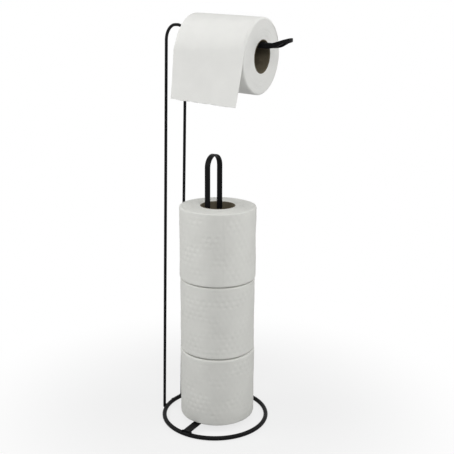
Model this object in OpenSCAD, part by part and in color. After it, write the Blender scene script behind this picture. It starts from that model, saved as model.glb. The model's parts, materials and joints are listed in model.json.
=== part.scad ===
// Free-standing toilet paper holder: a wire base ring with a leaning wire frame, a roll arm
// that carries the roll in use, and an upright spindle that keeps three spare rolls.
// Origin: centre of the base ring, on the floor. +Z is up and the roll arm points along +X.

/* [Base] */
// Outside diameter of the base ring
base_d = 150; // [135:1:190]
// Diameter of the base ring's wire
base_wire = 6; // [5:0.5:8]
// Width of the flat bar across the ring
bar_w = 10.4; // [9:0.2:16]
// Thickness of the flat bar across the ring
bar_t = 2.3; // [1.5:0.1:4]
// How far the bar lies off the ring's centre
bar_x = -1.6; // [-4:0.1:4]

/* [Frame] */
// Height of the wire frame above the floor
frame_h = 541; // [500:1:640]
// Spacing of the two uprights, centre to centre
frame_w = 42.6; // [41:0.2:56]
// Diameter of the frame's wire
frame_wire = 4; // [3:0.5:6]
// Bend radius of the frame's top corners, to the wire's centre
frame_bend = 19; // [12:0.5:20]
// Angle that the frame leans over the base
frame_lean = 1.35; // [0:0.05:2]
// Angle that the frame is turned about the base's centre
frame_turn = -2; // [-4:0.5:4]

/* [Roll arm] */
// Height of the arm's centre line at the start of its upturned tip
arm_z = 515; // [470:1:520]
// Outside width of the arm's loop
arm_w = 18.5; // [15:0.5:24]
// Height of the arm's strip
arm_strip = 6.2; // [4:0.2:9]
// Thickness of the arm's strip
arm_t = 2.2; // [1.5:0.1:3]
// Distance of the arm's tip from the base's centre
arm_reach = 105; // [95:1:125]
// Distance of the arm's centre from the base's middle plane
arm_y = 3; // [-4:0.5:6]
// Angle that the arm droops towards its tip
arm_droop = 3.05; // [0:0.05:5]
// Angle of the upturned tip above the level
tip_angle = 16; // [10:0.5:30]

// How far the strap carries the arm's root in front of the frame
strap_out = 15; // [8:0.5:18]

/* [Reserve spindle] */
// Height of the spindle's top above the floor
spindle_h = 375.5; // [330:0.5:420]
// Outside width of the spindle's loop
spindle_w = 33; // [26:0.5:35]
// Width of the spindle's strip
spindle_strip = 7.6; // [5:0.2:10]
// Thickness of the spindle's strip
spindle_t = 2.2; // [1.5:0.1:3]
// How far the spindle stands off the ring's centre
spindle_x = -3; // [-5:0.5:2]

/* [Roll in use] */
// Diameter of the roll on the arm
use_d = 94.1; // [80:0.1:115]
// Length of the roll on the arm
use_len = 100.2; // [90:0.1:112]
// Bore of its cardboard core
use_bore = 39; // [37:0.2:46]
// Distance of the roll's outer end from the base's centre
use_end = 65.2; // [55:0.1:70]
// Length of the sheet that hangs below the roll's axis
sheet_drop = 57; // [20:1:110]
// How far the sheet's free edge stands out from the roll
sheet_flare = 8; // [2:0.5:12]

/* [Spare rolls] */
// Diameter of the spare rolls
spare_d = 102.4; // [85:0.2:110]
// Length of a spare roll
spare_len = 100; // [90:0.5:106]
// Bore of their cardboard cores
spare_bore = 44.6; // [43:0.2:50]
// Distance of the stack's centre from the ring's centre, along the arm
stack_x = 2; // [-1:0.5:4]
// Distance of the stack's centre from the ring's centre, across the arm
stack_y = 2.4; // [0:0.1:3]
// Wall of the cardboard cores
core_wall = 1.2; // [0.6:0.1:2]

/* [Hidden] */
// gap that lets a roll turn or lift clear of what carries it
gap = 0.3;
// play between a cardboard core and the paper wound on it
core_play = 0.05;
// thickness of the solid that stands for the hanging sheet
sheet_t = 0.8;
// the bend between the arm and its tip, to the strip's centre line
arm_bend = 40;
// height of the strip at the arm's nose, and the stretch where it runs into the tip
nose_h = 4.2;
// straight steps in the arm's upturned bend
bend_steps = 6;
// height and thickness of the strap that carries the arm
strap_h = 9;
strap_t = 2.5;
// how far the legs stand above the floor
foot_gap = 0.5;
// radii of the weld beads
bead = 2.6;
foot_bead = 1.2;
arm_bead = 1.9;
spindle_bead = 2;
// share of the bar's thickness that its beads climb, and the room between two beads at one end
bead_climb = 0.8;
bead_split = 0.1;
// height of the ring's closing seam over its wire, how far down its sides it reaches, and its angle
seam_over = 0.5;
seam_low = 2;
seam_angle = 3.2;
// differences of the three spare rolls from the bottom up
spare_extra_d = [0.6, -0.6, 0.8];
spare_extra_len = [-3, 1.3, -0.3];
round_fn = 96;
wire_fn = 48;
far = 400;

black = [0.07, 0.07, 0.07];
weld_black = [0.05, 0.05, 0.05];
paper_white = [0.88, 0.88, 0.86];
card_brown = [0.42, 0.36, 0.29];

ring_r = base_d / 2 - base_wire / 2;
ring_z = base_wire / 2;
bar_z = base_wire;
bar_top = bar_z + bar_t;
bar_half = ring_r;

leg_r = base_d / 2 + frame_wire / 2;
leg_half = frame_w / 2;
leg_x = -sqrt(leg_r * leg_r - leg_half * leg_half);
leg_len = frame_h / cos(frame_lean) - frame_wire / 2 - foot_gap;

tip_start_x = arm_reach - 31;
arm_slope = tan(arm_droop);
bend_sum = arm_droop + tip_angle;
bend_end_x = tip_start_x + arm_bend * (sin(tip_angle) + sin(arm_droop));
tip_run = (arm_reach - bend_end_x) / cos(tip_angle) - arm_w / 2;
// the strap's front face in the frame's own axes, and where the arm meets it
strap_front = frame_wire / 2 + strap_out;
root_x = leg_x + arm_z * tan(frame_lean) + strap_front;
arm_root_y = arm_y - root_x * sin(frame_turn);
strap_z = arm_z + (tip_start_x - root_x) * arm_slope;

use_r = use_d / 2;
use_bore_r = use_bore / 2;
// the arm's top edges touch the bore here, seen along the roll
rest_h = sqrt(use_bore_r * use_bore_r - arm_w * arm_w / 4) - gap;
use_axis_z = arm_z + arm_strip / 2 / cos(arm_droop) - rest_h + (tip_start_x - use_end) * arm_slope;

spare_z = [
    bar_top + gap,
    bar_top + 2 * gap + spare_len + spare_extra_len[0],
    bar_top + 3 * gap + 2 * spare_len + spare_extra_len[0] + spare_extra_len[1]
];

// ---- placing ----

// the frame's own axes: its wire plane is YZ, between the uprights at the floor
module on_frame() {
    rotate([0, 0, frame_turn]) translate([leg_x, 0, 0]) rotate([0, frame_lean, 0]) children();
}

// the arm's own axes: +X along the drooping arm, from the start of its tip
module on_arm() {
    translate([tip_start_x, arm_y, arm_z]) rotate([0, arm_droop, 0]) children();
}

// the axis of the roll in use: +Z along it, from its outer end towards the frame
module on_use_roll() {
    translate([use_end, arm_y, use_axis_z]) rotate([0, arm_droop - 90, 0]) children();
}

module on_stack(z) {
    translate([stack_x, stack_y, z]) children();
}

// ---- repeated shapes ----

module wire(d, length) {
    cylinder(d = d, h = length, $fn = wire_fn);
}

// a quarter bend of wire in the XZ plane, from +X up to +Z
module wire_bend(d, r) {
    rotate([90, 0, 0]) rotate_extrude(angle = 90, $fn = round_fn)
        translate([r, 0]) circle(d = d, $fn = wire_fn);
}

// flat outline of a hairpin: two strips joined by a half round at the top
module hairpin(width, thick, length) {
    difference() {
        union() {
            translate([-width / 2, 0]) square([width, length - width / 2]);
            translate([0, length - width / 2]) circle(d = width, $fn = round_fn);
        }
        translate([-width / 2 + thick, -1]) square([width - 2 * thick, length - width / 2 + 1]);
        translate([0, length - width / 2]) circle(d = width - 2 * thick, $fn = round_fn);
    }
}

module tube(outer_r, inner_r, length) {
    difference() {
        cylinder(r = outer_r, h = length, $fn = round_fn);
        translate([0, 0, -1]) cylinder(r = inner_r, h = length + 2, $fn = round_fn);
    }
}

module weld_bead(r) {
    sphere(r = r, $fn = wire_fn);
}

// ---- base ----

module ring_solid() {
    translate([0, 0, ring_z]) rotate_extrude($fn = round_fn)
        translate([ring_r, 0]) circle(d = base_wire, $fn = wire_fn);
}

module base_ring() {
    color(black) ring_solid();
}

// the ring's ends are butt welded at the back, between the uprights: a band over the wire's upper side
module ring_seam_weld() {
    color(weld_black) translate([0, 0, ring_z]) rotate([0, 0, 180 - seam_angle / 2])
        rotate_extrude(angle = seam_angle, $fn = round_fn) translate([ring_r, 0]) difference() {
            circle(d = base_wire + 2 * seam_over, $fn = wire_fn);
            circle(d = base_wire, $fn = wire_fn);
            translate([-base_wire, -base_wire]) square([2 * base_wire, base_wire - seam_low]);
        }
}

module bar_solid() {
    translate([bar_x - bar_w / 2, -bar_half, bar_z]) cube([bar_w, 2 * bar_half, bar_t]);
}

module cross_bar() {
    color(black) bar_solid();
}

// a bead in each corner where the bar lies on the ring, outside the bar's edges
module cross_bar_welds() {
    color(weld_black) difference() {
        for (side = [-1, 1], edge = [-1, 1])
            translate([bar_x + edge * bar_w / 2, side * ring_r, bar_z]) intersection() {
                weld_bead(bead);
                translate([edge > 0 ? 0 : -bead, -bead, -bead])
                    cube([bead, 2 * bead, bead + bead_climb * bar_t]);
            }
        ring_solid();
    }
}

// ---- frame ----

module frame_solid() {
    straight = leg_len - frame_bend;
    on_frame() {
        for (side = [-1, 1]) {
            translate([0, side * leg_half, foot_gap]) wire(frame_wire, straight);
            translate([0, side * (leg_half - frame_bend), foot_gap + straight])
                rotate([0, 0, side * 90]) wire_bend(frame_wire, frame_bend);
        }
        translate([0, -leg_half + frame_bend, foot_gap + leg_len])
            rotate([-90, 0, 0]) wire(frame_wire, frame_w - 2 * frame_bend);
    }
}

module wire_frame() {
    color(black) frame_solid();
}

// each upright is welded to the outside of the ring: an upright bead fills the corner on either
// side, where it touches the ring's outside and the upright
module frame_foot_welds() {
    corner_r = base_d / 2 + foot_bead + core_play;
    reach = frame_wire / 2 + foot_bead + core_play;
    across = sqrt(reach * reach - (leg_r - corner_r) * (leg_r - corner_r));
    color(weld_black) for (side = [-1, 1], edge = [-1, 1])
        rotate([0, 0, frame_turn + 180 - side * asin(leg_half / leg_r)])
            translate([corner_r, edge * across, ring_z]) {
                weld_bead(foot_bead);
                translate([0, 0, -foot_bead / 2]) weld_bead(foot_bead);
                translate([0, 0, -foot_bead / 2]) cylinder(r = foot_bead, h = foot_bead / 2, $fn = wire_fn);
            }
}

// an angle: one side runs forward from the far upright, the other across behind the arm's ends
module strap_solid() {
    near_end = arm_root_y - arm_w / 2;
    far_end = leg_half + strap_t / 2;
    on_frame() translate([0, 0, strap_z - strap_h / 2]) linear_extrude(strap_h) {
        translate([strap_front - strap_t, near_end]) square([strap_t, far_end - near_end]);
        translate([frame_wire / 2, far_end - strap_t]) square([strap_out, strap_t]);
    }
}

module arm_strap() {
    color(black) strap_solid();
}

// beads above and below the strap, on the upright that carries it
module arm_strap_weld() {
    color(weld_black) difference() {
        on_frame() for (end = [-1, 1])
            translate([frame_wire / 2, leg_half, strap_z + end * strap_h / 2]) intersection() {
                weld_bead(bead);
                translate([-bead, -bead, end > 0 ? 0 : -bead]) cube([bead + strap_t, 2 * bead, bead]);
            }
        frame_solid();
    }
}

// ---- roll arm ----

// the upturned bend runs in short straight steps along its true curve
function bend_at(i) = i * bend_sum / bend_steps;
function bend_edge(a, off) = [arm_bend * sin(a) - off * sin(a), arm_bend * (1 - cos(a)) + off * cos(a)];
function tip_edge(off, run) = bend_edge(bend_sum, off) + run * [cos(bend_sum), sin(bend_sum)];

// side view of the arm: straight, a wide bend, and a tip whose lower edge rises to the nose
module arm_side() {
    half = arm_strip / 2;
    polygon(concat(
        [[-far / 2, half]],
        [for (i = [0:bend_steps]) bend_edge(bend_at(i), half)],
        [tip_edge(half, tip_run + arm_w), tip_edge(half - nose_h, tip_run + arm_w)],
        [tip_edge(half - nose_h, tip_run)],
        [for (i = [bend_steps:-1:0]) bend_edge(bend_at(i), -half)],
        [[-far / 2, -half]]
    ));
}

module arm_solid() {
    difference() {
        intersection() {
            on_arm() translate([0, arm_w, 0]) rotate([90, 0, 0]) linear_extrude(2 * arm_w) arm_side();
            translate([arm_reach - far, arm_y, arm_z - far / 2]) rotate([0, 0, -90])
                linear_extrude(far) hairpin(arm_w, arm_t, far);
        }
        // everything behind the strap's front face
        on_frame() translate([strap_front - far, -far, 0]) cube([far, 2 * far, 2 * far]);
    }
}

module roll_arm() {
    color(black) arm_solid();
}

// beads in the corners between the strap and the inner sides of the arm's two ends
module roll_arm_welds() {
    color(weld_black) difference() {
        on_frame() for (side = [-1, 1], end = [-1, 1])
            translate([strap_front, arm_root_y + side * (arm_w / 2 - arm_t), strap_z + end])
                intersection() {
                    weld_bead(arm_bead);
                    translate([0, side > 0 ? -arm_bead : -bead_split, -arm_bead])
                        cube([arm_bead, arm_bead + bead_split, 2 * arm_bead]);
                    translate([0, -arm_bead, end > 0 ? bead_split : -arm_bead])
                        cube([arm_bead, 2 * arm_bead, arm_bead - bead_split]);
                }
        arm_solid();
    }
}

// ---- reserve spindle ----

module spindle_solid() {
    translate([spindle_x - spindle_strip / 2, 0, bar_top]) rotate([90, 0, 90])
        linear_extrude(spindle_strip) hairpin(spindle_w, spindle_t, spindle_h - bar_top);
}

module reserve_spindle() {
    color(black) spindle_solid();
}

// beads on the inner side of each foot, where the rolls' cores can't touch them
module spindle_welds() {
    color(weld_black) difference() {
        for (side = [-1, 1], edge = [-1, 0, 1])
            translate([spindle_x + edge * spindle_strip / 3, side * (spindle_w / 2 - spindle_t), bar_top])
                weld_bead(spindle_bead);
        spindle_solid();
        translate([-far, -far, bar_top - far]) cube([2 * far, 2 * far, far]);
    }
}

// ---- roll in use ----

module use_roll_paper() {
    color(paper_white) on_use_roll()
        tube(use_r, use_bore_r + core_wall + core_play, use_len);
}

module use_roll_core() {
    color(card_brown) on_use_roll() tube(use_bore_r + core_wall, use_bore_r, use_len);
}

// the free sheet: it leaves the roll on its front side and hangs with its edge standing out
module hanging_sheet() {
    front = -(use_r + gap);
    color(paper_white) on_use_roll() linear_extrude(use_len)
        polygon([
            [0, front], [0, front - sheet_t],
            [-sheet_drop, front - sheet_t - sheet_flare], [-sheet_drop, front - sheet_flare]
        ]);
}

// ---- spare rolls ----

module spare_paper(i) {
    color(paper_white) on_stack(spare_z[i])
        tube(
            (spare_d + spare_extra_d[i]) / 2,
            spare_bore / 2 + core_wall + core_play,
            spare_len + spare_extra_len[i]
        );
}

module spare_core(i) {
    color(card_brown) on_stack(spare_z[i])
        tube(spare_bore / 2 + core_wall, spare_bore / 2, spare_len + spare_extra_len[i]);
}

module spare_roll_bottom_paper() { spare_paper(0); }
module spare_roll_bottom_core() { spare_core(0); }
module spare_roll_middle_paper() { spare_paper(1); }
module spare_roll_middle_core() { spare_core(1); }
module spare_roll_top_paper() { spare_paper(2); }
module spare_roll_top_core() { spare_core(2); }

base_ring();
ring_seam_weld();
cross_bar();
cross_bar_welds();
wire_frame();
frame_foot_welds();
arm_strap();
arm_strap_weld();
roll_arm();
roll_arm_welds();
reserve_spindle();
spindle_welds();
use_roll_paper();
use_roll_core();
hanging_sheet();
spare_roll_bottom_paper();
spare_roll_bottom_core();
spare_roll_middle_paper();
spare_roll_middle_core();
spare_roll_top_paper();
spare_roll_top_core();
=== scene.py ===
"""Looks of a free-standing toilet paper holder with a roll in use and three spare rolls.

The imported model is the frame: every piece here stands for its solids, in metres, in its axes.
"""

import json
import math

import bmesh
import bpy
import numpy as np
from bpy.props import FloatProperty, FloatVectorProperty, IntProperty, PointerProperty
from mathutils import Matrix, Vector


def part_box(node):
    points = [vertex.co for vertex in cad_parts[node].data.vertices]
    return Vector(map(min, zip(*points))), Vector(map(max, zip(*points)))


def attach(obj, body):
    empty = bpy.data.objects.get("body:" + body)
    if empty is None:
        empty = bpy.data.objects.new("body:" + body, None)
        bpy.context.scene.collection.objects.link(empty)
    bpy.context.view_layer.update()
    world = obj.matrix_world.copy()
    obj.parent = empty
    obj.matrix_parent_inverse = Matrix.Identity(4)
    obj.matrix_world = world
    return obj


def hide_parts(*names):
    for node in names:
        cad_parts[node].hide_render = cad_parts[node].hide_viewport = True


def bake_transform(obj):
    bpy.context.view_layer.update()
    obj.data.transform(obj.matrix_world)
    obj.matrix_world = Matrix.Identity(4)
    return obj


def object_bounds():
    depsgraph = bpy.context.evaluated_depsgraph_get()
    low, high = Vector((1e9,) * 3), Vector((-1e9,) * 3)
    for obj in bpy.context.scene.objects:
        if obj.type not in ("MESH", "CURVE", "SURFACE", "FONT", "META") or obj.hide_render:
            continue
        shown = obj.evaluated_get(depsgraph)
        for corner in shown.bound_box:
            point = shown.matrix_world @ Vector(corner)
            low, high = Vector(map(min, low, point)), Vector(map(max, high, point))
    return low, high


bl_info = {
    "name": "Toilet Paper Holder",
    "version": (1, 0, 0),
    "blender": (4, 5, 0),
    "location": "View3D > Sidebar > Holder",
    "description": "Builds the wire stand, its welds, the rolls of paper and the stage",
    "category": "Add Mesh",
}

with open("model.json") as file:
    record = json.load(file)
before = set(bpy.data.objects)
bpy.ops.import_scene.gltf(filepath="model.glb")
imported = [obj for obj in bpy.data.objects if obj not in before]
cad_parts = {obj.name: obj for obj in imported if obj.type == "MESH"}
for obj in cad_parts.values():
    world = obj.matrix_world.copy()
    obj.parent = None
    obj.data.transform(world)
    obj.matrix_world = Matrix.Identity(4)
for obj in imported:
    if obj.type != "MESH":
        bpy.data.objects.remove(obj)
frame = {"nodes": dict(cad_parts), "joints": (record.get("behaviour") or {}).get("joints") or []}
cad_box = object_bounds()

MM = 0.001
TURN = 2 * math.pi
UP = np.array([0.0, 0.0, 1.0])
WELD_SEED = 5
CORE_GAP = 0.05 * MM  # between a core and the paper wound on it
CORE_WALL = 1.2 * MM


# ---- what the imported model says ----


def box_of(node):
    """Lowest and highest corner of a CAD node, as arrays."""
    low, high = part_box(node)
    return np.array(low), np.array(high)


def joint_of(name):
    """Point and unit axis of a joint, as arrays."""
    found = next(j for j in frame["joints"] if j["name"] == name)
    axis = np.array(found["axis"], float)
    return np.array(found["pos_m"], float), axis / np.linalg.norm(axis)


def islands_of(node):
    """Lowest and highest corners of each separate solid in a CAD node."""
    work = bmesh.new()
    work.from_mesh(frame["nodes"][node].data)
    bmesh.ops.remove_doubles(work, verts=work.verts, dist=0.00001)
    left, boxes = set(work.verts), []
    while left:
        found, edge = set(), [next(iter(left))]
        while edge:
            vertex = edge.pop()
            if vertex not in found:
                found.add(vertex)
                edge.extend(e.other_vert(vertex) for e in vertex.link_edges)
        left -= found
        places = np.array([v.co for v in found])
        boxes.append((places.min(0), places.max(0)))
    work.free()
    return sorted(boxes, key=lambda b: tuple(np.round(b[0], 5)))


# ---- sizes and colours that a user would change ----


def length(name, description, value):
    return FloatProperty(name=name, description=description, default=value, unit="LENGTH", precision=5)


def angle(name, description, degrees):
    return FloatProperty(
        name=name, description=description, default=math.radians(degrees), unit="ROTATION", subtype="ANGLE"
    )


def power(name, place, value):
    return FloatProperty(name=name, description="Power of the lamp " + place, default=value)


def colour(name, description, value):
    return FloatVectorProperty(
        name=name, description=description, default=value, size=3, min=0, max=1, subtype="COLOR"
    )


class HolderStandSizes(bpy.types.PropertyGroup):
    """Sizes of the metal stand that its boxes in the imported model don't give."""

    frame_width: length("Frame width", "Spacing of the two uprights, centre to centre", 42.6 * MM)
    frame_wire: length("Frame wire", "Diameter of the frame's wire", 4 * MM)
    frame_bend: length("Frame bend", "Bend radius of the frame's top corners", 19 * MM)
    foot_gap: length("Foot gap", "Height of the uprights' ends above the floor", 0.5 * MM)
    frame_lean: angle("Frame lean", "How far the frame leans over the base", 1.35)
    frame_turn: angle("Frame turn", "How far the frame is turned about the base's centre", -2)
    strip: length("Strip thickness", "Thickness of the arm's and spindle's strips", 2.2 * MM)
    strip_edge: length("Strip edge", "Radius along the strips' edges", 0.55 * MM)
    arm_height: length("Arm height", "Height of the arm's centre line where its tip starts", 515 * MM)
    arm_strip: length("Arm strip", "Height of the arm's strip", 6.2 * MM)
    arm_tip: length("Arm tip", "Length of the upturned tip", 31 * MM)
    arm_bend: length("Arm bend", "Bend radius between the arm and its tip", 40 * MM)
    arm_droop: angle("Arm droop", "How far the arm droops towards its tip", 3.05)
    tip_angle: angle("Tip angle", "Angle of the upturned tip above the level", 16)
    nose: length("Nose height", "Height of the strip at the arm's nose", 4.2 * MM)
    strap: length("Strap height", "Height of the strap that carries the arm", 9 * MM)
    strap_thickness: length("Strap thickness", "Thickness of the strap that carries the arm", 2.5 * MM)
    strap_out: length("Strap reach", "How far the strap carries the arm's root in front of the frame", 15 * MM)
    strap_bend: length("Strap bend", "Bend radius of the strap, to its middle", 3.2 * MM)


class HolderPaperSizes(bpy.types.PropertyGroup):
    """Sizes of the paper and of its surface."""

    soft_edge: length("Soft edge", "Radius of a roll's outer edges", 2.8 * MM)
    lumps: length("Lumps", "Height of the shallow swells round a roll", 0.3 * MM)
    dimple: length("Dimple depth", "Depth of the pressed dimples in the spare rolls", 0.55 * MM)
    dimple_pitch: length("Dimple pitch", "Spacing of the pressed dimples", 8.5 * MM)
    layers: length("Layers", "Height that the layers stand out by in a roll's ends", 0.06 * MM)
    sheet: length("Sheet thickness", "Thickness of the hanging sheet", 0.24 * MM)
    sheet_drop: length("Sheet drop", "Length of the sheet below the roll's axis", 58 * MM)
    outer_flare: angle("Outer flare", "How far the sheet stands out at the roll's outer end", 10.6)
    inner_flare: angle("Inner flare", "How far the sheet stands out at the roll's inner end", 2.6)
    seed: IntProperty(name="Seed", description="Start of the paper's random unevenness", default=11)


class HolderColours(bpy.types.PropertyGroup):
    """Base colours of the finishes."""

    coat: colour("Powder coat", "Black powder coat of the metal", (0.0045, 0.0045, 0.005))
    weld: colour("Coated weld", "Powder coat over the weld beads", (0.0035, 0.0035, 0.004))
    tissue: colour("Tissue", "Smooth white paper of the roll in use", (0.78, 0.78, 0.755))
    embossed: colour("Embossed paper", "White pressed paper of the spare rolls", (0.77, 0.772, 0.735))
    cardboard: colour("Cardboard", "Grey-brown card of the cores", (0.125, 0.106, 0.072))


class HolderStage(bpy.types.PropertyGroup):
    """Camera, lamps and floor."""

    view_from: FloatVectorProperty(
        name="View from",
        description="Place of the camera",
        default=(0.5210, -0.8621, 0.5436),
        size=3,
        subtype="TRANSLATION",
    )
    view_turn: angle("View turn", "Direction of the view, round from the depth axis", 30.27)
    view_down: angle("View down", "How far the view looks down", 14.82)
    view_roll: angle("View roll", "How far the camera is tipped to one side", 0.34)
    lens: FloatProperty(name="Lens", description="Focal length, in millimetres", default=61.67)
    sky: FloatProperty(name="Sky", description="Strength of the light from all round", default=0.2)
    top_lamp: power("Top lamp", "overhead", 2.35)
    left_lamp: power("Left lamp", "to the left of the view", 2.95)
    right_lamp: power("Right lamp", "to the right of the view", 2.4)
    front_lamp: power("Front lamp", "above the camera", 5.2)


# ---- mesh code ----


def loft(rings, closed=False):
    """Vertices and faces of a surface through closed rings of points, capped unless it closes on itself."""
    rings = np.asarray(rings, float)
    count, around = rings.shape[:2]
    grid = np.arange(count * around).reshape(count, around)
    if closed:
        grid = np.vstack([grid, grid[:1]])
    beside = np.roll(grid, -1, axis=1)
    quads = np.stack([grid[:-1], beside[:-1], beside[1:], grid[1:]], axis=-1).reshape(-1, 4)
    faces = quads.tolist()
    if not closed:
        faces += [grid[0][::-1].tolist(), grid[-1].tolist()]
    return rings.reshape(-1, 3), faces


def rounded_outline(width, height, corner, steps=4):
    """Points round a rounded rectangle."""
    points = []
    for quarter, (side_x, side_y) in enumerate(((1, 1), (-1, 1), (-1, -1), (1, -1))):
        for step in range(steps + 1):
            a = (quarter + step / steps) * math.pi / 2
            x = side_x * (width / 2 - corner) + corner * math.cos(a)
            points.append((x, side_y * (height / 2 - corner) + corner * math.sin(a)))
    return np.array(points)


def sweep(path, first, second, outline):
    """Rings of an outline carried along a path, with its two directions at each point."""
    path, first, second = (np.asarray(a, float)[:, None, :] for a in (path, first, second))
    return path + outline[None, :, :1] * first + outline[None, :, 1:] * second


def on_circle(angles):
    """Points on the unit circle, from its first direction towards its second."""
    return np.column_stack([np.cos(angles), np.sin(angles)])


def directions(path, closed=False):
    """Unit direction of travel at each point of a path."""
    path = np.asarray(path, float)
    if closed:
        along = np.roll(path, -1, axis=0) - np.roll(path, 1, axis=0)
    else:
        along = np.gradient(path, axis=0)
    return along / np.linalg.norm(along, axis=1)[:, None]


def wire(path, plane, radii, steps=24, closed=False):
    """Rings of a round wire that follows a flat path."""
    along = directions(path, closed)
    plane = np.broadcast_to(np.asarray(plane, float), along.shape)
    across = np.cross(along, plane)
    circle = on_circle(np.linspace(0, TURN, steps, endpoint=False))
    rings = sweep(np.zeros_like(along), across, plane, circle)
    return np.asarray(path, float)[:, None, :] + rings * np.broadcast_to(radii, len(along))[:, None, None]


def bevelled_bar(start, end, first, second, width, height, corner):
    """Rings of a straight bar with rounded edges and eased ends."""
    start, end = np.asarray(start, float), np.asarray(end, float)
    reach = np.linalg.norm(end - start)
    stops = np.array([0, 0.3 * corner, corner, reach - corner, reach - 0.3 * corner, reach])
    shrink = np.array([corner, 0.3 * corner, 0, 0, 0.3 * corner, corner])
    rings = []
    for stop, less in zip(stops, shrink):
        outline = rounded_outline(width - 2 * less, height - 2 * less, corner)
        middle = start + (end - start) * stop / reach
        rings.append(middle + outline[:, :1] * first + outline[:, 1:] * second)
    return rings


def add_piece(name, shape, material, body, slot, replaced=(), **marks):
    """Makes a piece from vertices and faces, says what it rides on by hanging it under its body's empty, and hides
    the CAD parts that it stands for.
    """
    vertices, faces = shape
    mesh = bpy.data.meshes.new(name)
    mesh.from_pydata(np.asarray(vertices).tolist(), [], faces)
    mesh.validate()
    mesh.polygons.foreach_set("use_smooth", [True] * len(mesh.polygons))
    mesh.set_sharp_from_angle(angle=math.radians(50))
    for mark, values in marks.items():
        values = np.asarray(values, np.float32)
        flat = values.ndim == 1
        kept = mesh.attributes.new(mark, "FLOAT" if flat else "FLOAT_VECTOR", "POINT")
        kept.data.foreach_set("value" if flat else "vector", values.ravel())
    mesh.materials.append(material)
    piece = bpy.data.objects.new(name, mesh)
    bpy.context.scene.collection.objects.link(piece)
    if body:
        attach(piece, body)
    if replaced:
        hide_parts(*replaced)
    return piece


def joined(shapes):
    """One set of vertices and faces from several."""
    vertices, faces, start = [], [], 0
    for points, sides in shapes:
        vertices.append(np.asarray(points))
        faces += [[start + i for i in side] for side in sides]
        start += len(points)
    return np.vstack(vertices), faces


def stepped(start, end, step):
    """Values from start to end at about the given step."""
    return np.linspace(start, end, max(2, int(abs(end - start) / step) + 1))


def smooth(x):
    x = np.clip(x, 0, 1)
    return x * x * (3 - 2 * x)


def swells(turn, along, seed, count, most_round, longest, shortest):
    """Smooth random unevenness from -1 to 1 that closes on itself round a roll."""
    rng = np.random.default_rng(seed)
    total = 0
    for _ in range(count):
        waves = rng.integers(0, most_round + 1)
        pace = TURN / rng.uniform(shortest, longest) * rng.choice([-1, 1])
        total = total + rng.uniform(0.4, 1) * np.cos(waves * turn + pace * along + rng.uniform(0, TURN))
    return total / (0.6 * count**0.5) / 2


# ---- finishes ----


def node(tree, kind, inputs=None, **settings):
    """Adds a shader node, with its settings and with values or links for its inputs."""
    made = tree.nodes.new(kind)
    for key, value in settings.items():
        setattr(made, key, value)
    for key, value in (inputs or {}).items():
        if isinstance(value, bpy.types.NodeSocket):
            tree.links.new(value, made.inputs[key])
        else:
            made.inputs[key].default_value = value
    return made


def maths(tree, operation, first, second):
    """The output of a sum on two values or outputs."""
    return node(tree, "ShaderNodeMath", {0: first, 1: second}, operation=operation).outputs[0]


def noise(tree, place, scale, detail, roughness=0.5):
    """Soft random values from 0 to 1."""
    given = {"Vector": place, "Scale": scale, "Detail": detail, "Roughness": roughness}
    return node(tree, "ShaderNodeTexNoise", given).outputs["Fac"]


def share_between(tree, value, low, high, **settings):
    """How far a value has come from a low level to a high one, from 0 to 1."""
    given = {"Value": value, "From Min": low, "From Max": high}
    return node(tree, "ShaderNodeMapRange", given, **settings).outputs["Result"]


def spread(tree, share, low, high):
    """A value from low to high as a share goes from 0 to 1."""
    return node(tree, "ShaderNodeMapRange", {"Value": share, "To Min": low, "To Max": high}).outputs["Result"]


def new_group(name, inputs, outputs):
    """An empty node group, its input node and its output node."""
    tree = bpy.data.node_groups.new(name, "ShaderNodeTree")
    for label, kind, value in inputs:
        socket = tree.interface.new_socket(name=label, in_out="INPUT", socket_type=kind)
        if value is not None:
            socket.default_value = value
    for label, kind in outputs:
        tree.interface.new_socket(name=label, in_out="OUTPUT", socket_type=kind)
    return tree, tree.nodes.new("NodeGroupInput").outputs, tree.nodes.new("NodeGroupOutput")


def fine_grain_group():
    """Pebbled grain at one size: a height, and a slower mask for patches."""
    tree, given, out = new_group(
        "Fine grain",
        [("Place", "NodeSocketVector", None), ("Grains per Metre", "NodeSocketFloat", 900.0),
         ("Patches per Metre", "NodeSocketFloat", 30.0)],
        [("Height", "NodeSocketFloat"), ("Patches", "NodeSocketFloat")],
    )
    grain = noise(tree, given["Place"], given["Grains per Metre"], 2.0, 0.55)
    patch = noise(tree, given["Place"], given["Patches per Metre"], 3.0)
    tree.links.new(grain, out.inputs["Height"])
    tree.links.new(share_between(tree, patch, 0.3, 0.7), out.inputs["Patches"])
    return tree


def dust_group():
    """Fine dust that settles on what faces up."""
    tree, given, out = new_group(
        "Settled dust",
        [("Place", "NodeSocketVector", None), ("Amount", "NodeSocketFloat", 0.3)],
        [("Mask", "NodeSocketFloat")],
    )
    normal = node(tree, "ShaderNodeNewGeometry").outputs["Normal"]
    facing_up = node(tree, "ShaderNodeSeparateXYZ", {"Vector": normal}).outputs["Z"]
    level = share_between(tree, facing_up, 0.35, 1.0)
    specks = share_between(tree, noise(tree, given["Place"], 420.0, 4.0, 0.75), 0.45, 0.8)
    settled = maths(tree, "MULTIPLY", level, specks)
    tree.links.new(maths(tree, "MULTIPLY", settled, given["Amount"]), out.inputs["Mask"])
    return tree


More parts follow.
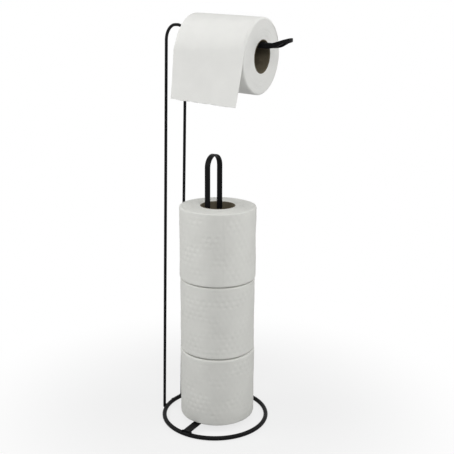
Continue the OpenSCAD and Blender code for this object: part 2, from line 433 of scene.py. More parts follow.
def crepe_group():
    """Creped paper: fine lines along the roll's width, soft fibres and a slow cloudiness."""
    tree, given, out = new_group(
        "Creped paper",
        [("Place", "NodeSocketVector", None), ("Lines per Metre", "NodeSocketFloat", 1500.0)],
        [("Height", "NodeSocketFloat"), ("Cloud", "NodeSocketFloat")],
    )
    drawn = node(tree, "ShaderNodeVectorMath", {0: given["Place"], 1: (1.0, 1.0, 0.12)}, operation="MULTIPLY")
    lines = noise(tree, drawn.outputs[0], given["Lines per Metre"], 2.0)
    fibre = maths(tree, "MULTIPLY", noise(tree, given["Place"], 2600.0, 3.0, 0.7), 0.45)
    cloud = share_between(tree, noise(tree, given["Place"], 38.0, 4.0), 0.3, 0.7)
    tree.links.new(maths(tree, "ADD", lines, fibre), out.inputs["Height"])
    tree.links.new(cloud, out.inputs["Cloud"])
    return tree


def wound_layers_group():
    """Edges of the wound layers in a roll's end, from the place in the roll's own axes."""
    tree, given, out = new_group(
        "Wound layers",
        [("Place", "NodeSocketVector", None), ("Layers per Metre", "NodeSocketFloat", 2400.0)],
        [("Height", "NodeSocketFloat"), ("Gaps", "NodeSocketFloat")],
    )
    flat = node(tree, "ShaderNodeVectorMath", {0: given["Place"], 1: (1.0, 1.0, 0.0)}, operation="MULTIPLY")
    out_from = node(tree, "ShaderNodeVectorMath", {0: flat.outputs[0]}, operation="LENGTH").outputs["Value"]
    wander = maths(tree, "MULTIPLY", noise(tree, given["Place"], 60.0, 2.0), 0.0012)
    radius = maths(tree, "ADD", out_from, wander)
    layered = node(tree, "ShaderNodeTexNoise",
                   {"W": radius, "Scale": given["Layers per Metre"], "Detail": 2.0, "Roughness": 0.6},
                   noise_dimensions="1D").outputs["Fac"]
    tree.links.new(layered, out.inputs["Height"])
    tree.links.new(share_between(tree, layered, 0.35, 0.5), out.inputs["Gaps"])
    return tree


def effect(tree, name, maker, inputs):
    """Places a shared node group in a material, building it the first time."""
    shared = bpy.data.node_groups.get(name) or maker()
    return node(tree, "ShaderNodeGroup", inputs, node_tree=shared)


def finish(name, maker, *details):
    """The material of this name, made the first time that a piece asks for it."""
    return bpy.data.materials.get(name) or maker(name, *details)


def start_material(name, roughness, specular):
    """A new material, its node tree and its Principled shader."""
    material = bpy.data.materials.new(name)
    material.use_nodes = True
    tree = material.node_tree
    shader = tree.nodes["Principled BSDF"]
    shader.inputs["Roughness"].default_value = roughness
    shader.inputs["Specular IOR Level"].default_value = specular
    return material, tree, shader


def mixed(tree, mask, first, second):
    """A colour between two by a mask."""
    mix = node(tree, "ShaderNodeMix", data_type="RGBA")
    for key, value in (("Factor_Float", mask), ("A_Color", first), ("B_Color", second)):
        socket = next(s for s in mix.inputs if s.identifier == key)
        if isinstance(value, bpy.types.NodeSocket):
            tree.links.new(value, socket)
        else:
            socket.default_value = value
    return next(s for s in mix.outputs if s.identifier == "Result_Color")


def bumped(tree, height, depth, before=None):
    """A normal raised by a height, depth metres high at most."""
    inputs = {"Height": height, "Distance": depth}
    if before is not None:
        inputs["Normal"] = before
    return node(tree, "ShaderNodeBump", inputs).outputs["Normal"]


def tint(base, share):
    """A colour lightened or darkened by a share, with full cover."""
    return (*(min(1.0, c * share) for c in base), 1.0)


def coat_material(name, base, peel_depth, grains):
    """Powder coat: black, satin, pebbled like orange peel, with patches and a little dust."""
    material, tree, shader = start_material(name, 0.42, 0.07)
    place = node(tree, "ShaderNodeTexCoord").outputs["Object"]
    grain = effect(tree, "Fine grain", fine_grain_group, {"Place": place, "Grains per Metre": grains})
    dust = effect(tree, "Settled dust", dust_group, {"Place": place, "Amount": 0.05})
    patchy = mixed(tree, grain.outputs["Patches"], tint(base, 0.85), tint(base, 1.2))
    dusty = mixed(tree, dust.outputs["Mask"], patchy, (0.32, 0.31, 0.29, 1.0))
    tree.links.new(dusty, shader.inputs["Base Color"])
    tree.links.new(spread(tree, grain.outputs["Patches"], 0.36, 0.48), shader.inputs["Roughness"])
    tree.links.new(bumped(tree, grain.outputs["Height"], peel_depth), shader.inputs["Normal"])
    return material


def paper_material(name, base, depth, lines):
    """White paper wound on a roll: creped, slightly cloudy, layered where its ends show, with painted shade in the
    low gaps between the layers there.
    """
    material, tree, shader = start_material(name, 0.93, 0.18)
    place = node(tree, "ShaderNodeAttribute", attribute_name="wound_place").outputs["Vector"]
    end = node(tree, "ShaderNodeAttribute", attribute_name="end_face").outputs["Fac"]
    crepe = effect(tree, "Creped paper", crepe_group, {"Place": place, "Lines per Metre": lines})
    layers = effect(tree, "Wound layers", wound_layers_group, {"Place": place})
    cloudy = mixed(tree, crepe.outputs["Cloud"], tint(base, 0.975), tint(base, 1.02))
    # painted shade: the ends' colour darkens a little in the low gaps between the wound layers
    gap = maths(tree, "MULTIPLY", maths(tree, "SUBTRACT", 1.0, layers.outputs["Gaps"]), end)
    painted_gap_shade = maths(tree, "MULTIPLY", gap, 0.10)
    tree.links.new(mixed(tree, painted_gap_shade, cloudy, tint(base, 0.6)), shader.inputs["Base Color"])
    layered = bumped(tree, maths(tree, "MULTIPLY", layers.outputs["Height"], end), 0.14 * MM)
    tree.links.new(bumped(tree, crepe.outputs["Height"], depth, layered), shader.inputs["Normal"])
    return material


def cardboard_material(name, base):
    """Grey-brown card with long fibres, flecks and a rough face."""
    material, tree, shader = start_material(name, 0.9, 0.25)
    place = node(tree, "ShaderNodeAttribute", attribute_name="wound_place").outputs["Vector"]
    grain = effect(tree, "Fine grain", fine_grain_group,
                   {"Place": place, "Grains per Metre": 1300.0, "Patches per Metre": 90.0})
    flecks = share_between(tree, noise(tree, place, 1900.0, 4.0, 0.8), 0.56, 0.72)
    patchy = mixed(tree, grain.outputs["Patches"], tint(base, 0.82), tint(base, 1.18))
    tree.links.new(mixed(tree, flecks, patchy, tint(base, 0.45)), shader.inputs["Base Color"])
    tree.links.new(bumped(tree, grain.outputs["Height"], 0.12 * MM), shader.inputs["Normal"])
    return material


def powder_coat():
    base = bpy.context.scene.holder_colours.coat
    return finish("satin_black_coat", coat_material, base, 0.014 * MM, 1300.0)


def weld_coat():
    base = bpy.context.scene.holder_colours.weld
    return finish("black_coat_on_welds", coat_material, base, 0.04 * MM, 800.0)


def tissue():
    base = bpy.context.scene.holder_colours.tissue
    return finish("creped_white_tissue", paper_material, base, 0.05 * MM, 1500.0)


def embossed():
    base = bpy.context.scene.holder_colours.embossed
    return finish("pressed_white_paper", paper_material, base, 0.07 * MM, 1100.0)


def cardboard():
    return finish("grey_brown_card", cardboard_material, bpy.context.scene.holder_colours.cardboard)


# ---- the stand ----


def frame_axes():
    """The leaning frame's own axes: +Z up between its uprights, from the floor."""
    sizes = bpy.context.scene.holder_stand
    leg_circle = box_of("base_ring")[1][0] + sizes.frame_wire / 2
    back = -math.sqrt(leg_circle**2 - (sizes.frame_width / 2) ** 2)
    return (
        Matrix.Rotation(sizes.frame_turn, 4, "Z")
        @ Matrix.Translation((back, 0, 0))
        @ Matrix.Rotation(sizes.frame_lean, 4, "Y")
    )


def carried(points, axes):
    """Points given in some axes, in the model's axes."""
    axes = np.array(axes)
    return np.asarray(points, float) @ axes[:3, :3].T + axes[:3, 3]


def hairpin(width, reach, step):
    """Middle line of a strip bent double: travel and sideways places, and its outward side."""
    half = width / 2
    leg = stepped(0, reach - half, step)[:-1]
    bent = on_circle(np.linspace(-math.pi / 2, math.pi / 2, 33))
    near = np.column_stack([leg, np.full(len(leg), -half)])
    line = np.vstack([near, (reach - half, 0) + half * bent, near[::-1] * (1, -1)])
    side = np.vstack([[(0, -1)] * len(leg), bent, [(0, 1)] * len(leg)])
    return line, side


def coated_piece(name, shape, node_name, flat_sided=True):
    """A powder-coated piece of the stand, its flat sides shaded flat."""
    piece = add_piece(name, shape, powder_coat(), "stand", "black_powder_coat", [node_name])
    if flat_sided:
        piece.modifiers.new("Even normals", "WEIGHTED_NORMAL").keep_sharp = True


class HOLDER_OT_base(bpy.types.Operator):
    """Build the ring that stands on the floor and the flat bar across it"""

    bl_idname = "holder.base"
    bl_label = "Base"

    def execute(self, context):
        low, high = box_of("base_ring")
        radius, thick = (high[0] - low[0]) / 2, high[2] - low[2]
        turn = np.linspace(0, TURN, 288, endpoint=False)
        line = np.column_stack([on_circle(turn) * (radius - thick / 2), np.full(len(turn), (low[2] + high[2]) / 2)])
        rings = wire(line, UP, thick / 2, steps=28, closed=True)
        coated_piece("base_ring_wire", loft(rings, closed=True), "base_ring", flat_sided=False)
        low, high = box_of("cross_bar")
        middle, size = (low + high) / 2, high - low
        bar_edge = 0.45 * MM
        rings = bevelled_bar(
            (middle[0], low[1], middle[2]), (middle[0], high[1], middle[2]), np.array([1.0, 0, 0]), UP,
            size[0], size[2], bar_edge,
        )
        coated_piece("base_cross_bar", loft(rings), "cross_bar")
        return {"FINISHED"}


class HOLDER_OT_frame(bpy.types.Operator):
    """Build the leaning wire frame, bent from one length with its two ends at the floor"""

    bl_idname = "holder.frame"
    bl_label = "Wire frame"

    def execute(self, context):
        sizes = context.scene.holder_stand
        half, bend, thick = sizes.frame_width / 2, sizes.frame_bend, sizes.frame_wire
        top = box_of("wire_frame")[1][2] / math.cos(sizes.frame_lean) - thick / 2
        # the sawn ends are eased: heights above the cut, and the wire's share of its full radius there
        eased = [0, 0.15 * MM, 0.4 * MM, 0.8 * MM]
        shrunk = [0.72, 0.88, 0.97, 1.0]
        rise = np.concatenate([sizes.foot_gap + np.array(eased), stepped(3 * MM, top - bend, 4 * MM)])
        corner = np.linspace(0, math.pi / 2, 25)[1:]
        up_leg = [(-half, z) for z in rise]
        over = [(-half + bend * (1 - math.cos(a)), top - bend + bend * math.sin(a)) for a in corner]
        side = np.array(up_leg + over)
        flat = np.vstack([side, side[::-1] * (-1, 1)])
        line = np.column_stack([0 * flat[:, 0], flat])
        radii = np.full(len(line), thick / 2)
        radii[: len(shrunk)] *= shrunk
        radii[-len(shrunk):] *= shrunk[::-1]
        rings = carried(wire(line, (1, 0, 0), radii), frame_axes())
        coated_piece("frame_wire", loft(rings), "wire_frame", flat_sided=False)
        return {"FINISHED"}


class HOLDER_OT_arm(bpy.types.Operator):
    """Build the strap on the frame and the roll arm, a strip bent double with an upturned tip"""

    bl_idname = "holder.arm"
    bl_label = "Roll arm"

    def side_edges(self, sizes, root, reach, width):
        """The upper and lower edge of the arm from the side, as travel and height."""
        droop, tip, bend = sizes.arm_droop, sizes.tip_angle, sizes.arm_bend
        half, start = sizes.arm_strip / 2, reach - sizes.arm_tip
        bend_end = start + bend * (math.sin(tip) + math.sin(droop))
        run = (reach - bend_end) / math.cos(tip) - width / 2

        def edge(a, off, beyond=0.0):
            """A point off the bend's middle line, where the arm has turned to an angle, and one beyond it."""
            sine, cosine = math.sin(a), math.cos(a)
            travel = start + bend * (sine + math.sin(droop)) - off * sine + beyond * cosine
            return travel, sizes.arm_height + bend * (math.cos(droop) - cosine) + off * cosine + beyond * sine

        curve = np.linspace(-droop, tip, 17)
        back = root - start
        upper = [edge(-droop, half, back)] + [edge(a, half) for a in curve] + [edge(tip, half, run + width)]
        lower = [edge(-droop, -half, back)] + [edge(a, -half) for a in curve]
        lower += [edge(tip, half - sizes.nose, run), edge(tip, half - sizes.nose, run + width)]
        return np.array(upper), np.array(lower)

    def execute(self, context):
        sizes = context.scene.holder_stand
        low, high = box_of("roll_arm")
        width, reach, middle = high[1] - low[1], high[0], (low[1] + high[1]) / 2
        root_x, into_strap = low[0], 0.5 * MM
        root = root_x - into_strap
        upper, lower = self.side_edges(sizes, root, reach, width)
        line, side = hairpin(width - sizes.strip, reach - sizes.strip / 2 - root, 1.5 * MM)
        place_x = line[:, 0] + root
        rings = []
        for x, y, (out_x, out_y) in zip(place_x, line[:, 1] + middle, side):
            top, base = np.interp(x, *upper.T), np.interp(x, *lower.T)
            outline = rounded_outline(top - base, sizes.strip, sizes.strip_edge)
            centre = np.array([x, y, (top + base) / 2])
            rings.append(centre + outline[:, :1] * UP + outline[:, 1:] * np.array([out_x, out_y, 0]))
        coated_piece("roll_arm_strip", loft(rings), "roll_arm")
        self.strap(sizes, middle - root_x * math.sin(sizes.frame_turn) - width / 2)
        return {"FINISHED"}

    def strap(self, sizes, near):
        """The bent strap, from behind the arm's near end to the far upright, in the frame's own axes."""
        axes, thick, bend = frame_axes(), sizes.strap_thickness, sizes.strap_bend
        low, high = box_of("arm_strap")
        rise = (axes.inverted() @ Vector((low + high) / 2)).z
        front = sizes.frame_wire / 2 + sizes.strap_out - thick / 2
        far = sizes.frame_width / 2
        into_wire = 0.3 * MM
        bent = on_circle(np.linspace(0, math.pi / 2, 13))
        across = [(front, y) for y in stepped(near, far - bend, 2 * MM)[:-1]]
        back = [(x, far) for x in stepped(front - bend, sizes.frame_wire / 2 - into_wire, 2 * MM)[1:]]
        plan = np.vstack([across, (front - bend, far - bend) + bend * bent, back])
        out = np.vstack([[(1, 0)] * len(across), bent, [(0, 1)] * len(back)])
        path = np.column_stack([plan, np.full(len(plan), rise)])
        out = np.column_stack([out, 0 * out[:, 0]])
        outline = rounded_outline(sizes.strap, thick, sizes.strip_edge)
        rings = carried(sweep(path, np.broadcast_to(UP, out.shape), out, outline), axes)
        coated_piece("roll_arm_strap", loft(rings), "arm_strap")


class HOLDER_OT_spindle(bpy.types.Operator):
    """Build the upright spindle for the spare rolls, a strip bent double on the bar"""

    bl_idname = "holder.spindle"
    bl_label = "Spindle"

    def execute(self, context):
        sizes = context.scene.holder_stand
        low, high = box_of("reserve_spindle")
        width, rise = high[1] - low[1], high[2] - low[2]
        line, side = hairpin(width - sizes.strip, rise - sizes.strip / 2, 4 * MM)
        middle = (low + high) / 2
        path = np.column_stack([np.full(len(line), middle[0]), line[:, 1] + middle[1], line[:, 0] + low[2]])
        out = np.column_stack([np.zeros(len(side)), side[:, 1], side[:, 0]])
        across = np.broadcast_to([1.0, 0, 0], out.shape)
        outline = rounded_outline(high[0] - low[0], sizes.strip, sizes.strip_edge)
        coated_piece("spindle_strip", loft(sweep(path, across, out, outline)), "reserve_spindle")
        return {"FINISHED"}


class HOLDER_OT_welds(bpy.types.Operator):
    """Build the coated weld beads: rippled lumps in the corners where the parts meet"""

    bl_idname = "holder.welds"
    bl_label = "Weld beads"

    def bead(self, low, high, rng):
        """A lump that fills a box, rippled along its longest side."""
        middle, half = (low + high) / 2, (high - low) / 2
        order = np.argsort(-half)
        along, first, second = (np.eye(3)[i] * half[i] for i in order)
        turn = np.linspace(0, TURN, 28, endpoint=False)
        waves, start = rng.uniform(2.2, 3.2), rng.uniform(0, TURN)
        rings, last = [], 0.485 * math.pi
        for t in np.sin(np.linspace(-last, last, 26)):
            ripple = 1 + 0.07 * math.sin(waves * TURN / 2 * t + start)
            uneven = 1 + 0.05 * np.cos(2 * turn + start + t) + 0.03 * np.cos(3 * turn - 2 * t + waves)
            size = (math.sqrt(1 - t * t) * ripple * uneven)[:, None]
            round_it = np.cos(turn)[:, None] * first + np.sin(turn)[:, None] * second
            rings.append(middle + along * t + size * round_it)
        return loft(rings)

    def execute(self, context):
        rng = np.random.default_rng(WELD_SEED)
        for weld in ("ring_seam_weld", "cross_bar_welds", "frame_foot_welds", "arm_strap_weld", "roll_arm_welds",
                     "spindle_welds"):
            beads = [self.bead(low, high, rng) for low, high in islands_of(weld)]
            add_piece(weld + "_beads", joined(beads), weld_coat(), "stand", "coated_weld", [weld])
        return {"FINISHED"}


# ---- the paper ----


class Axes:
    """A roll's own axes: start and direction of its axis, and two directions across it."""

    def __init__(self, start, along, up):
        self.start, self.along = np.asarray(start, float), np.asarray(along, float)
        self.up = up - self.along * (up @ self.along)
        self.up = self.up / np.linalg.norm(self.up)
        self.side = np.cross(self.along, self.up)

    def points(self, turn, radius, travel):
        """Places in the model's axes, and the same in the roll's own."""
        first, second = radius * np.cos(turn), radius * np.sin(turn)
        own = np.stack(np.broadcast_arrays(first, second, travel), axis=-1)
        placed = self.start + own[..., :1] * self.up + own[..., 1:2] * self.side + own[..., 2:] * self.along
        return placed, own


def roll_section(inner, outer, long, soft, step):
    """Section of a wound roll: radius, travel, share of the end faces and share of the side."""
    face = stepped(inner, outer - soft, step)
    corner = np.linspace(0, math.pi / 2, 9)[1:-1]
    side = stepped(soft, long - soft, step)
    radius = [face, outer - soft + soft * np.sin(corner), np.full(len(side), outer)]
    travel = [0 * face, soft - soft * np.cos(corner), side]
    ends = [0 * face + 1, 1 - corner / (math.pi / 2), 0 * side]
    radius += [radius[1][::-1], face[::-1], np.full(3, inner)]
    travel += [long - travel[1][::-1], long + 0 * face, long * np.array([0.97, 0.5, 0.03])]
    ends += [ends[1][::-1], 0 * face + 1, np.zeros(3)]
    wall = [0 * part for part in ends[:-1]] + [np.ones(3)]
    ends = np.concatenate(ends)
    return np.concatenate(radius), np.concatenate(travel), ends, np.concatenate(wall)


def wound_paper(name, axes, inner, outer, long, material, body, slot, replaced, seed, dimples):
    """A roll of wound paper: soft edges, layered ends, shallow swells, and dimples where it is pressed."""
    sizes = bpy.context.scene.holder_paper
    # the side and the ends are held in by this much, so that their unevenness stays within the roll's own size
    side_room, end_room = 0.3 * MM, 0.45 * MM
    last_layer, pack_step, crush_depth = 0.22 * MM, 0.3 * MM, 0.35 * MM
    radius, travel, ends, wall = roll_section(inner, outer, long, sizes.soft_edge, 1.0 * MM)
    turn = np.linspace(0, TURN, 300, endpoint=False)[None, :]
    radius, travel, ends, wall = (a[:, None] for a in (radius, travel, ends, wall))
    side, depth = (1 - ends) * (1 - wall), smooth((radius - inner) / (outer - inner))
    lump = sizes.lumps * swells(turn, travel, seed, 9, 5, 0.14, 0.045)
    crease = 0.35 * sizes.lumps * swells(turn, travel, seed + 1, 14, 26, 0.09, 0.02)
    # the paper's outer end: where it lies round the roll, how far it wavers, and the turn its step takes
    tail_at, waver, step_turn = 2.1, 0.02, 0.008
    tail = (turn + waver * np.sin(travel / long * 9) - tail_at - seed) % TURN
    step = last_layer * (1 - smooth(tail / TURN)) * smooth(tail / step_turn)
    inward = dimples * side * pressed(turn, travel, outer, sizes.dimple_pitch, seed)
    grown = (lump + crease + step - side_room) * depth**2 - inward
    spiral = radius - pack_step * turn / TURN
    bands = (7.3, 4.1, 2.9, 2.2)  # widths of the bands of layers, in millimetres
    heights = sum(
        np.cos(TURN * spiral / (wave * MM) + seed * wave) / count for count, wave in enumerate(bands, start=1)
    )
    heights = sizes.layers * (heights + 0.9 * swells(turn, spiral, seed + 2, 8, 3, 0.02, 0.006))
    crush = crush_depth * swells(turn, 0 * radius, seed + 3, 6, 7, 1, 0.5) * depth
    inset = ends * (heights + crush + end_room)
    lower = travel < long / 2
    placed, own = axes.points(turn, radius + grown * (1 - wall), np.where(lower, travel + inset, travel - inset))
    return add_piece(
        name, loft(placed, closed=True), material, body, slot, replaced,
        wound_place=own.reshape(-1, 3), end_face=np.broadcast_to(ends, own.shape[:2]).ravel(),
    )


def pressed(turn, travel, outer, pitch, seed):
    """Rows of round dimples, staggered, stronger in some places than in others."""
    across = max(6, round(TURN * outer / pitch))
    rows_apart, dimple_width = 0.87 * pitch, 0.19 * pitch
    row = travel / rows_apart
    total = 0
    for offset in (0, 1):
        mine = 2 * np.round((row - offset) / 2) + offset
        column = turn / TURN * across + 0.5 * offset
        off_round = (column - np.round(column)) * TURN * outer / across
        off_along = (row - mine) * rows_apart
        total = total + np.exp(-(off_round**2 + off_along**2) / (2 * dimple_width**2))
    kept = smooth(0.4 + swells(turn, travel, seed + 7, 10, 7, 0.08, 0.02))
    return total * (0.15 + 0.85 * kept)


def card_core(name, axes, inner, outer, long, material, body, slot, replaced, seed):
    """A spirally wound cardboard core, with its seam and slightly frayed ends."""
    thick = outer - inner
    corner = 0.25 * thick
    winding_pitch, seam_height, bow_height, fray_depth = 55 * MM, 0.28 * MM, 0.12 * MM, 0.1 * MM
    down = stepped(corner, long - corner, 1.6 * MM)
    radius = np.concatenate([[inner + corner, outer - corner], 0 * down + outer, [outer - corner, inner + corner],
                             0 * down + inner])
    travel = np.concatenate([[0, 0], down, [long, long], down[::-1]])
    turn = np.linspace(0, TURN, 180, endpoint=False)[None, :]
    radius, travel = radius[:, None], travel[:, None]
    within = radius < (inner + outer) / 2
    spiral = (turn / TURN + travel / winding_pitch) % 1
    seam = seam_height * smooth(1 - np.abs(spiral - 0.5) * 60)
    bow = bow_height * swells(turn, travel, seed, 6, 3, 0.2, 0.06)
    # the ends only fray inward, so that stacked cores stay clear of each other
    fray = fray_depth * (1 + np.clip(swells(turn, 0 * radius, seed + 1, 9, 30, 1, 0.5), -1, 1))
    fray = fray * np.where(travel < long / 2, 1, -1) * (np.abs(travel - long / 2) > long * 0.49)
    moved = np.where(within, radius + seam + bow, radius)
    placed, own = axes.points(turn, moved, travel + fray)
    return add_piece(
        name, loft(placed, closed=True), material, body, slot, replaced, wound_place=own.reshape(-1, 3)
    )


def use_roll_axes():
    """Axes of the roll on the arm: from its outer end towards the frame, and its radius, bore and length."""
    middle, along = joint_of("use_roll_spin")
    low, high = box_of("use_roll_paper")
    droop = math.asin(-along[2])
    # the tilted cylinder's box is long*cos + 2*radius*sin long and 2*radius*cos + long*sin high
    outer = (high[1] - low[1]) / 2
    long = (high[0] - low[0] - 2 * outer * math.sin(droop)) / math.cos(droop)
    return Axes(middle + along * long / 2, -along, UP), outer, long


class HOLDER_OT_roll_in_use(bpy.types.Operator):
    """Build the roll that hangs on the arm, with its cardboard core"""

    bl_idname = "holder.roll_in_use"
    bl_label = "Roll in use"

    def execute(self, context):
        axes, outer, long = use_roll_axes()
        low, high = box_of("use_roll_core")
        wall = (high[1] - low[1]) / 2
        seed = context.scene.holder_paper.seed
        wound_paper("roll_in_use_paper", axes, wall + CORE_GAP, outer, long, tissue(), "use_roll", "tissue_paper",
                    ["use_roll_paper"], seed, dimples=0.0)
        card_core("roll_in_use_core", axes, wall - CORE_WALL, wall, long, cardboard(), "use_roll",
                  "grey_cardboard", ["use_roll_core"], seed)
        return {"FINISHED"}


class HOLDER_OT_hanging_sheet(bpy.types.Operator):
    """Build the free sheet: it lies over the roll's top and hangs down in front, flaring at its outer end"""

    bl_idname = "holder.hanging_sheet"
    bl_label = "Hanging sheet"

    def execute(self, context):
        sizes = context.scene.holder_paper
        axes, outer, long = use_roll_axes()
        # how far the sheet lies off the roll, starts under its face, curls out, sags in and ripples
        off_roll, tucked, curl_out, sag, ripple = 0.14 * MM, 0.32 * MM, 1.1 * MM, 0.5 * MM, 0.35 * MM
        tooth, tooth_pitch, tear_wander = 0.28 * MM, 1.6 * MM, 0.3 * MM
        face, back = outer + off_roll, math.radians(162)
        share = np.linspace(0, 1, 57)[None, :]
        flare = sizes.outer_flare + (sizes.inner_flare - sizes.outer_flare) * share
        wrap = np.linspace(0, 1, 90)[:, None]
        climb = back + (flare - back) * wrap
        from_end = np.clip(np.minimum(share, 1 - share) * long / sizes.soft_edge, 0, 1)
        dip = sizes.soft_edge * (1 - np.sqrt(1 - (1 - from_end) ** 2))
        lift = face - tucked * (1 - smooth(wrap * 12)) - dip * smooth((1 - wrap) * 9)
        wrap_out, wrap_up = lift * np.cos(climb), lift * np.sin(climb)
        run = (sizes.sheet_drop + face * np.sin(flare)) / np.cos(flare)
        fall = np.linspace(0, 1, 61)[1:, None]
        curl = curl_out * fall**3 * (0.3 + 0.7 * smooth(1 - 3 * share)) - sag * np.sin(math.pi * fall)
        wave = ripple * np.sin(share * 9 + 0.6) * fall**2
        out = face * np.cos(flare) + run * fall * np.sin(flare) + (curl + wave) * np.cos(flare)
        up = face * np.sin(flare) - run * fall * np.cos(flare)
        teeth = tooth * (np.abs((share * long / tooth_pitch) % 1 - 0.5) * 4 - 1)
        up[-1] += (teeth + tear_wander * np.sin(share * 21))[0]
        out, up = np.vstack([wrap_out, out]), np.vstack([wrap_up, up])
        step_out, step_up = np.gradient(out, axis=0), np.gradient(up, axis=0)
        size = np.hypot(step_out, step_up)
        normal_out, normal_up = -step_up / size, step_out / size
        travel = np.broadcast_to(long * (0.002 + 0.996 * share), out.shape)
        along_path = np.cumsum(size, axis=0)
        # the sheet hangs at the roll's front, which is -Y
        front = -axes.side if axes.side[1] > 0 else axes.side
        rings, own = [], []
        for face_side in (0.5, -0.5):
            thick = face_side * sizes.sheet
            o, u = out + thick * normal_out, up + thick * normal_up
            placed = axes.start + o[..., None] * front + u[..., None] * axes.up + travel[..., None] * axes.along
            order = slice(None) if face_side > 0 else slice(None, None, -1)
            rings.append(placed[:, order])
            own.append(np.stack([along_path, 0 * travel, travel], axis=-1)[:, order])
        rings, own = np.concatenate(rings, axis=1), np.concatenate(own, axis=1)
        sheet = add_piece("hanging_sheet_paper", loft(rings), tissue(), None, "tissue_paper", ["hanging_sheet"],
                          wound_place=own.reshape(-1, 3), end_face=np.zeros(own.shape[0] * own.shape[1]))
        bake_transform(sheet)
        return {"FINISHED"}


class HOLDER_OT_spare_rolls(bpy.types.Operator):
    """Build the three spare rolls on the spindle, with their cardboard cores"""

    bl_idname = "holder.spare_rolls"
    bl_label = "Spare rolls"

    def execute(self, context):
        sizes = context.scene.holder_paper
        for count, level in enumerate(("bottom", "middle", "top"), start=1):
            body = "spare_roll_" + level
            low, high = box_of(body + "_paper")
            core_low, core_high = box_of(body + "_core")
            middle, wall = (low + high) / 2, (core_high[0] - core_low[0]) / 2
            outer, long = (high[0] - low[0]) / 2, high[2] - low[2]
            axes = Axes((middle[0], middle[1], low[2]), UP, np.array([1.0, 0, 0]))
            wound_paper(body + "_winding", axes, wall + CORE_GAP, outer, long, embossed(), body,
                        "embossed_paper", [body + "_paper"], sizes.seed + 10 * count, sizes.dimple)
            card_core(body + "_card", axes, wall - CORE_WALL, wall, long, cardboard(), body,
                      "grey_cardboard", [body + "_core"], sizes.seed + count)
        return {"FINISHED"}


# ---- the stage ----


def seen_directly(tree):
    """1 for rays from the camera, a gloss or glass, and 0 for the rays that light the pieces."""
    path = node(tree, "ShaderNodeLightPath").outputs
    seen = maths(tree, "MAXIMUM", path["Is Camera Ray"], path["Is Glossy Ray"])
    return maths(tree, "MAXIMUM", seen, path["Is Transmission Ray"])


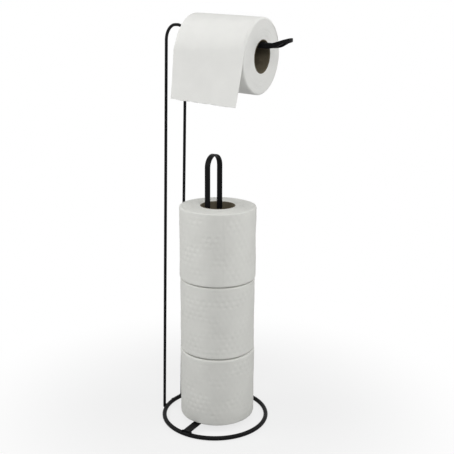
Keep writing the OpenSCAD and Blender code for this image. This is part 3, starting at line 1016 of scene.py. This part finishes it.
class HOLDER_OT_stage(bpy.types.Operator):
    """Set the pale floor, the soft lamps and the camera"""

    bl_idname = "holder.stage"
    bl_label = "Stage"

    def floor(self, context):
        around, near, far_off = 96, 0.6, 6.0
        circle = on_circle(np.linspace(0, TURN, around, endpoint=False))
        vertices = np.column_stack([np.vstack([near * circle, far_off * circle]), np.zeros(2 * around)])
        ring = np.arange(around)
        beside = np.roll(ring, -1)
        faces = np.stack([ring, beside, beside + around, ring + around], axis=1)[:, ::-1].tolist()
        faces.append(ring.tolist())
        mesh = bpy.data.meshes.new("stage_floor")
        mesh.from_pydata(vertices.tolist(), [], faces)
        material, tree, shader = start_material("pale_floor", 0.7, 0.3)
        shader.inputs["Base Color"].default_value = (0.62, 0.62, 0.62, 1)
        place = node(tree, "ShaderNodeTexCoord").outputs["Object"]
        away = node(tree, "ShaderNodeVectorMath", {0: place}, operation="LENGTH")
        far = share_between(tree, away.outputs["Value"], 0.12, 0.42, interpolation_type="SMOOTHSTEP")
        share = maths(tree, "MULTIPLY", seen_directly(tree), spread(tree, far, 0.76, 1.0))
        white = node(tree, "ShaderNodeEmission", {"Color": (1, 1, 1, 1), "Strength": 1.0})
        mix = node(tree, "ShaderNodeMixShader", {0: share, 1: shader.outputs[0], 2: white.outputs[0]})
        tree.links.new(mix.outputs[0], tree.nodes["Material Output"].inputs["Surface"])
        mesh.materials.append(material)
        floor = bpy.data.objects.new("stage_floor", mesh)
        context.scene.collection.objects.link(floor)

    def sky(self, context, stage):
        world = bpy.data.worlds.new("soft_studio")
        context.scene.world = world
        world.use_nodes = True
        tree = world.node_tree
        light = tree.nodes["Background"]
        light.inputs["Color"].default_value = (1, 1, 1, 1)
        light.inputs["Strength"].default_value = stage.sky
        white = node(tree, "ShaderNodeBackground", {"Color": (1, 1, 1, 1), "Strength": 1.0})
        seen = seen_directly(tree)
        mix = node(tree, "ShaderNodeMixShader", {0: seen, 1: light.outputs[0], 2: white.outputs[0]})
        tree.links.new(mix.outputs[0], tree.nodes["World Output"].inputs["Surface"])

    def lamp(self, context, name, place, aim, size, power):
        data = bpy.data.lights.new(name, "AREA")
        data.shape, data.size, data.energy = "DISK", size, power
        lamp = bpy.data.objects.new(name, data)
        lamp.location = place
        lamp.rotation_euler = (Vector(aim) - Vector(place)).to_track_quat("-Z", "Y").to_euler()
        context.scene.collection.objects.link(lamp)

    def execute(self, context):
        stage = context.scene.holder_stage
        low, high = (np.array(corner) for corner in cad_box)
        middle, tall = (low + high) / 2, high[2] - low[2]
        self.floor(context)
        self.sky(context, stage)
        turn, down = stage.view_turn, stage.view_down
        ahead = Vector((-math.sin(turn) * math.cos(down), math.cos(turn) * math.cos(down), -math.sin(down)))
        level = np.array([ahead.x, ahead.y, 0]) / math.cos(down)
        right = np.array([level[1], -level[0], 0])
        foot = middle * (1, 1, 0)
        aim = foot + UP * 0.78 * tall
        # power, then metres to the right and towards the camera, height as a share of the stand's, and size
        for name, power, aside, toward, height, size in (
            ("lamp_top", stage.top_lamp, 0.0, 0.15, 2.2, 0.9),
            ("lamp_left", stage.left_lamp, -0.75, 0.05, 1.15, 0.5),
            ("lamp_right", stage.right_lamp, 0.75, 0.05, 1.15, 0.5),
            ("lamp_front", stage.front_lamp, 0.1, 1.0, 1.7, 0.7),
        ):
            place = foot + right * aside - level * toward + UP * height * tall
            self.lamp(context, name, place, aim, size, power)
        camera = bpy.data.objects.new("camera", bpy.data.cameras.new("camera"))
        camera.data.lens, camera.data.sensor_width = stage.lens, 36
        camera.location = stage.view_from
        camera.rotation_mode = "QUATERNION"
        tipped = Matrix.Rotation(stage.view_roll, 3, "Z").to_quaternion()
        camera.rotation_quaternion = ahead.to_track_quat("-Z", "Y") @ tipped
        context.scene.collection.objects.link(camera)
        context.scene.camera = camera
        context.scene.view_settings.view_transform = "Standard"
        return {"FINISHED"}


class HOLDER_PT_panel(bpy.types.Panel):
    """Lists the pieces and their sizes"""

    bl_idname = "HOLDER_PT_panel"
    bl_label = "Toilet Paper Holder"
    bl_space_type = "VIEW_3D"
    bl_region_type = "UI"
    bl_category = "Holder"

    def draw(self, context):
        for operator in OPERATORS:
            self.layout.operator(operator.bl_idname)
        for group in SETTINGS:
            box = self.layout.box()
            settings = getattr(context.scene, group)
            for name in settings.bl_rna.properties.keys():
                if name not in ("rna_type", "name"):
                    box.prop(settings, name)


SETTINGS = {
    "holder_stand": HolderStandSizes,
    "holder_paper": HolderPaperSizes,
    "holder_colours": HolderColours,
    "holder_stage": HolderStage,
}
OPERATORS = (
    HOLDER_OT_base,
    HOLDER_OT_frame,
    HOLDER_OT_arm,
    HOLDER_OT_spindle,
    HOLDER_OT_welds,
    HOLDER_OT_roll_in_use,
    HOLDER_OT_hanging_sheet,
    HOLDER_OT_spare_rolls,
    HOLDER_OT_stage,
)


def register():
    for name, group in SETTINGS.items():
        bpy.utils.register_class(group)
        setattr(bpy.types.Scene, name, PointerProperty(type=group))
    for made in (*OPERATORS, HOLDER_PT_panel):
        bpy.utils.register_class(made)


def unregister():
    for made in (HOLDER_PT_panel, *reversed(OPERATORS)):
        bpy.utils.unregister_class(made)
    for name, group in SETTINGS.items():
        delattr(bpy.types.Scene, name)
        bpy.utils.unregister_class(group)


def main():
    register()
    for operator in OPERATORS:
        group, name = operator.bl_idname.split(".")
        getattr(getattr(bpy.ops, group), name)()
    bpy.context.view_layer.update()


if __name__ == "__main__":
    main()
